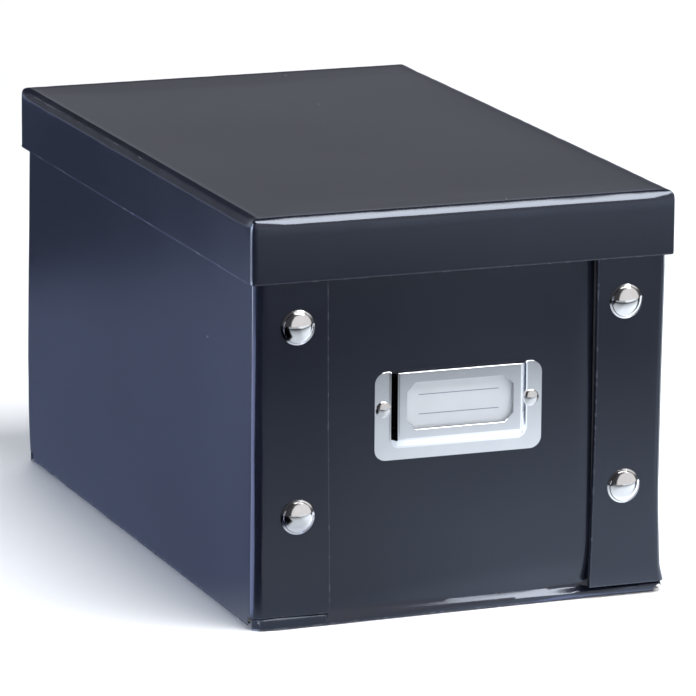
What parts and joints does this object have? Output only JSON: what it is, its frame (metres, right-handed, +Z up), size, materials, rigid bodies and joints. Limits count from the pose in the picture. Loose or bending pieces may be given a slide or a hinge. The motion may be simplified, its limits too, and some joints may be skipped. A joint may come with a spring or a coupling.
{
  "type": "lidded storage box",
  "caption": "Rectangular flat-pack cardboard box for discs, with a lift-off lid, corner flaps closed by press studs and a riveted metal label holder.",
  "frame": {"origin": "middle of the underside, on the surface that the box stands on", "axes": "+Z up, -Y out of the front that carries the label holder, +X to the right seen from the front"},
  "size_m": [0.165, 0.273, 0.1535],
  "materials": {
    "cover_paper": "semi-gloss laminated paper, blue-black",
    "lining_paper": "matt black paper",
    "board": "grey board, raw edges",
    "nickel": "polished nickel plate",
    "steel": "dull nickel-plated steel",
    "label_card": "smooth white card"
  },
  "bodies": {
    "box": {"base_board": "board", "base_cover": "cover_paper", "base_lining": "lining_paper", "front_board": "board", "front_cover": "cover_paper", "front_left_flap_board": "board", "front_left_lower_cap": "nickel", "front_left_upper_cap": "nickel", "front_lining": "lining_paper", "front_right_flap_board": "board", "front_right_lower_cap": "nickel", "front_right_upper_cap": "nickel", "front_stud_balls": "steel", "front_stud_posts": "steel", "front_stud_sockets": "steel", "holder_rivet_left": "nickel", "holder_rivet_right": "nickel", "label_holder": "nickel", "left_side_board": "board", "left_side_cover": "cover_paper", "left_side_lining": "lining_paper", "rear_board": "board", "rear_cover": "cover_paper", "rear_left_flap_board": "board", "rear_left_lower_cap": "nickel", "rear_left_upper_cap": "nickel", "rear_lining": "lining_paper", "rear_right_flap_board": "board", "rear_right_lower_cap": "nickel", "rear_right_upper_cap": "nickel", "rear_stud_balls": "steel", "rear_stud_posts": "steel", "rear_stud_sockets": "steel", "right_side_board": "board", "right_side_cover": "cover_paper", "right_side_lining": "lining_paper", "rivet_washer_left": "steel", "rivet_washer_right": "steel"},
    "lid": {"lid_cover": "cover_paper", "lid_front_board": "board", "lid_left_board": "board", "lid_lining": "lining_paper", "lid_rear_board": "board", "lid_right_board": "board", "lid_top_board": "board"},
    "label": {"label_card": "label_card"}
  },
  "joints": [
    {"name": "lid_lift", "type": "slide", "parent": "box", "child": "lid", "axis": [0, 0, 1], "range_m": [0, 0.1]},
    {"name": "label_slide", "type": "slide", "parent": "box", "child": "label", "axis": [0, 0, 1], "range_m": [0, 0.028]}
  ]
}
